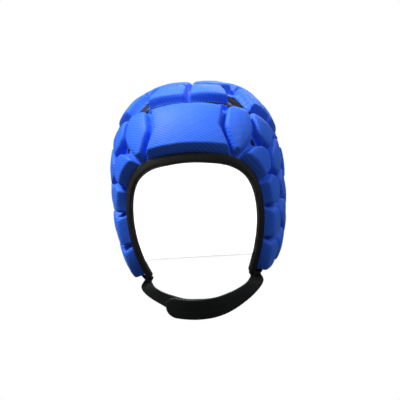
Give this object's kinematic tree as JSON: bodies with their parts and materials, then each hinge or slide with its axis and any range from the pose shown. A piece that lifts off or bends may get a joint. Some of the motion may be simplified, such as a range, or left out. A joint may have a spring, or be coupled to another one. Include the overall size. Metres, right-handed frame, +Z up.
{
  "type": "rugby scrum cap",
  "caption": "Padded head guard of foam blocks on a thin shell, open at the face and neck, with a taped crown seam, net vents and an overlapping chin strap.",
  "frame": {"origin": "top of the head hollow, on the cap's middle plane, where the cap sits on the head", "axes": "+Z up out of the head, -Y to the face, +X to the wearer's left"},
  "size_m": [0.1854, 0.2178, 0.249],
  "materials": {
    "foam_cloth": "knitted polyester over moulded foam, ribbed, slight sheen",
    "tape": "ribbed elastic tape, matte",
    "neoprene": "cloth-faced neoprene, matte",
    "net": "open knitted net, matte"
  },
  "bodies": {
    "root": {"crown_panel": "foam_cloth", "band_panel": "foam_cloth", "seam_tape": "tape", "face_binding": "tape", "chin_strap_left": "neoprene", "chin_strap_right": "neoprene", "vent_net_crown_left": "net", "vent_net_temple_left": "net", "vent_net_cheek_left": "net", "vent_net_jaw_left": "net", "vent_net_crown_right": "net", "vent_net_temple_right": "net", "vent_net_cheek_right": "net", "vent_net_jaw_right": "net"}
  },
  "joints": []
}
